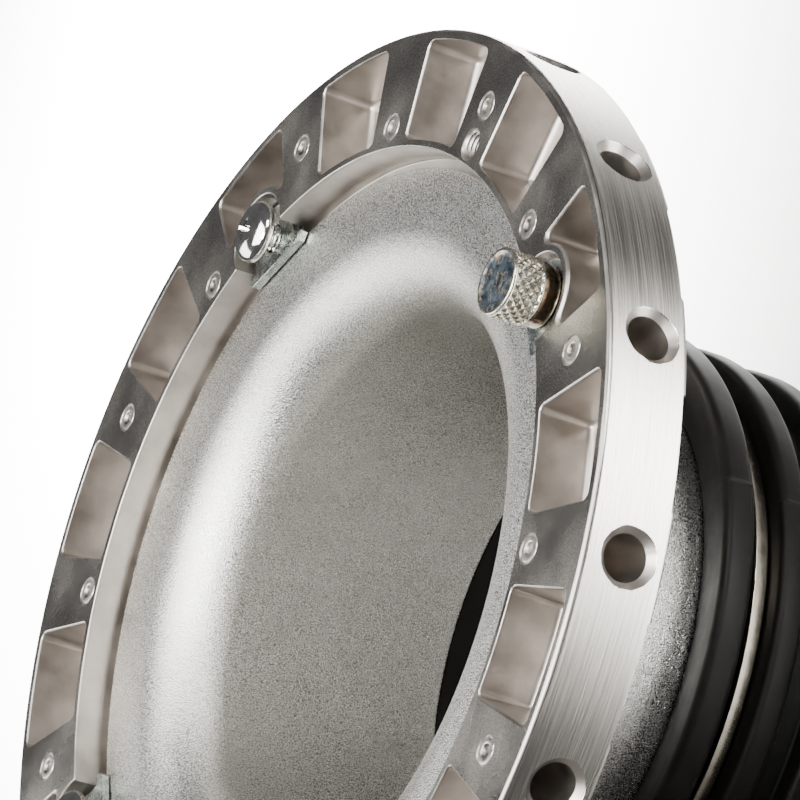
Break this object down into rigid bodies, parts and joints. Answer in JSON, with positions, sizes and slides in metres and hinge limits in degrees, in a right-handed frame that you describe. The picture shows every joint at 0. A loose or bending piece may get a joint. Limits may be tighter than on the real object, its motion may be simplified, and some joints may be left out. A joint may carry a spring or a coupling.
{
  "type": "softbox speed ring",
  "caption": "Cast aluminium ring with radial rod sockets and pockets, a spun insert in its bore and a ribbed rubber collar that grips a flash head.",
  "frame": {"origin": "centre of the rubber collar's rear face, which the part rests on", "axes": "+Z along the ring's axis, out of its front face; +X through a rod socket; the strap's closure is on the -X side"},
  "size_m": [0.2, 0.2, 0.1024],
  "materials": {
    "cast_aluminium": "machined face and rim, satin cast pockets",
    "blasted_aluminium": "bead blasted",
    "black_rubber": "moulded, semi-matt",
    "strap_steel": "rolled strip",
    "zinc_steel": "zinc plated",
    "zinc_plate": "blue zinc plated",
    "bright_nickel": "bright plated",
    "knurled_nickel": "diamond knurled, plated",
    "spring_steel": "plain"
  },
  "bodies": {
    "insert": {"cone_insert": "blasted_aluminium", "rubber_collar": "black_rubber", "strap_band": "strap_steel", "clamp_bolt": "zinc_steel", "bolt_washer": "zinc_steel"},
    "ring": {"rod_ring": "cast_aluminium", "clamp_plate_a": "zinc_plate", "clamp_plate_b": "zinc_plate", "clamp_plate_c": "zinc_plate", "pan_screw_a": "bright_nickel", "pan_screw_b": "bright_nickel", "pan_screw_c": "bright_nickel"},
    "thumb_plate": {"thumb_plate": "zinc_plate"},
    "thumb_screw": {"thumb_screw": "knurled_nickel", "plate_clip": "spring_steel"},
    "nut_washer": {"nut_washer": "zinc_steel"},
    "clamp_nut": {"clamp_nut": "knurled_nickel"}
  },
  "joints": [
    {"name": "ring_turn", "type": "hinge", "parent": "insert", "child": "ring", "pos_m": [0, 0, 0.0865], "axis": [0, 0, 1], "continuous": true},
    {"name": "thumb_lift", "type": "slide", "parent": "ring", "child": "thumb_plate", "axis": [0, 0, 1], "range_m": [-0.0022, 0]},
    {"name": "thumb_turn", "type": "hinge", "parent": "thumb_plate", "child": "thumb_screw", "pos_m": [0.06693, 0.04472, 0.096], "axis": [0, 0, 1], "range_deg": [-990, 0]},
    {"name": "nut_travel", "type": "slide", "parent": "insert", "child": "nut_washer", "axis": [0, -1, 0], "range_m": [0, 0.0021]},
    {"name": "nut_turn", "type": "hinge", "parent": "nut_washer", "child": "clamp_nut", "pos_m": [-0.0664, -0.0105, 0.0342], "axis": [0, -1, 0], "range_deg": [0, 1080]}
  ],
  "couplings": [
    {"joint": "thumb_lift", "follows": "thumb_turn", "m_per_rad": 0.00012732},
    {"joint": "nut_travel", "follows": "nut_turn", "m_per_rad": 0.00011141}
  ]
}
